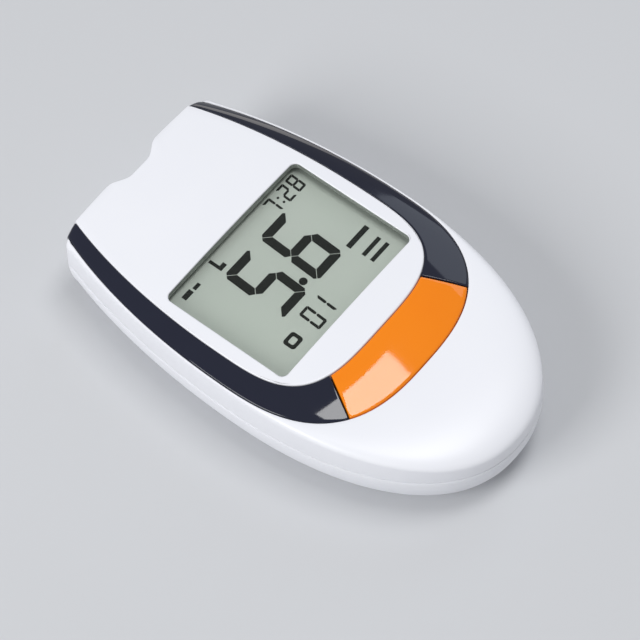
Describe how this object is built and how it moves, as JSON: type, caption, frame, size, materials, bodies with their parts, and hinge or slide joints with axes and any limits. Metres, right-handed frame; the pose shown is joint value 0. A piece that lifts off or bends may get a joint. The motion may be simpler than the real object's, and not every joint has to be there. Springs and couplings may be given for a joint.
{
  "type": "blood glucose meter",
  "caption": "Egg-shaped hand-held blood glucose meter with a framed display, side bands, one wide push button, a test-strip slot and a hinged cell door.",
  "frame": {"origin": "middle of the footprint, on the underside", "axes": "+Y towards the strip end, +Z out of the display, +X to the right of someone reading it"},
  "size_m": [0.062, 0.106, 0.023],
  "materials": {
    "white_shell": "glossy",
    "dark_band": "glossy",
    "orange_button": "glossy",
    "clear_lens": "clear",
    "clear_film": "satin",
    "display_glass": "clear",
    "display_ink": "matte",
    "reflector": "satin",
    "white_frame": "matte",
    "black_tape": "matte",
    "grey_rubber": "matte",
    "green_board": "satin",
    "black_chip": "matte",
    "brown_chip": "matte",
    "bright_metal": "satin",
    "screw_steel": "satin",
    "gold_contact": "polished",
    "grey_socket": "satin",
    "dark_plunger": "satin"
  },
  "bodies": {
    "case": {"front_cover": "white_shell", "rear_cover": "white_shell", "face_panel": "white_shell", "left_trim": "dark_band", "right_trim": "dark_band", "display_lens": "clear_lens", "lens_tape": "black_tape", "front_polariser": "clear_film", "lcd_front_glass": "display_glass", "display_segments": "display_ink", "lcd_seal": "black_tape", "lcd_rear_glass": "display_glass", "rear_polariser": "reflector", "lcd_frame": "white_frame", "zebra_strips": "grey_rubber", "circuit_board": "green_board", "microcontroller": "black_chip", "memory_chip": "black_chip", "quartz_crystal": "bright_metal", "buzzer": "black_chip", "chip_parts": "brown_chip", "strip_port": "grey_socket", "strip_contacts": "gold_contact", "switch_body": "black_chip", "coin_cell": "bright_metal", "cell_contact_negative": "bright_metal", "cell_contact_positive": "bright_metal", "case_screws": "screw_steel", "board_screws": "screw_steel"},
    "button": {"main_button": "orange_button"},
    "plunger": {"switch_plunger": "dark_plunger"},
    "door": {"battery_door": "white_shell"}
  },
  "joints": [
    {"name": "button_press", "type": "slide", "parent": "case", "child": "button", "axis": [0, 0, -1], "range_m": [0, 0.0004], "stiffness_N_per_m": 5000},
    {"name": "switch_press", "type": "slide", "parent": "case", "child": "plunger", "axis": [0, 0, -1], "range_m": [0, 0.0004]},
    {"name": "battery_door_hinge", "type": "hinge", "parent": "case", "child": "door", "pos_m": [0, 0.0162, 0.0015], "axis": [1, 0, 0], "range_deg": [0, 60]}
  ],
  "couplings": [
    {"joint": "switch_press", "follows": "button_press", "ratio": 1}
  ]
}
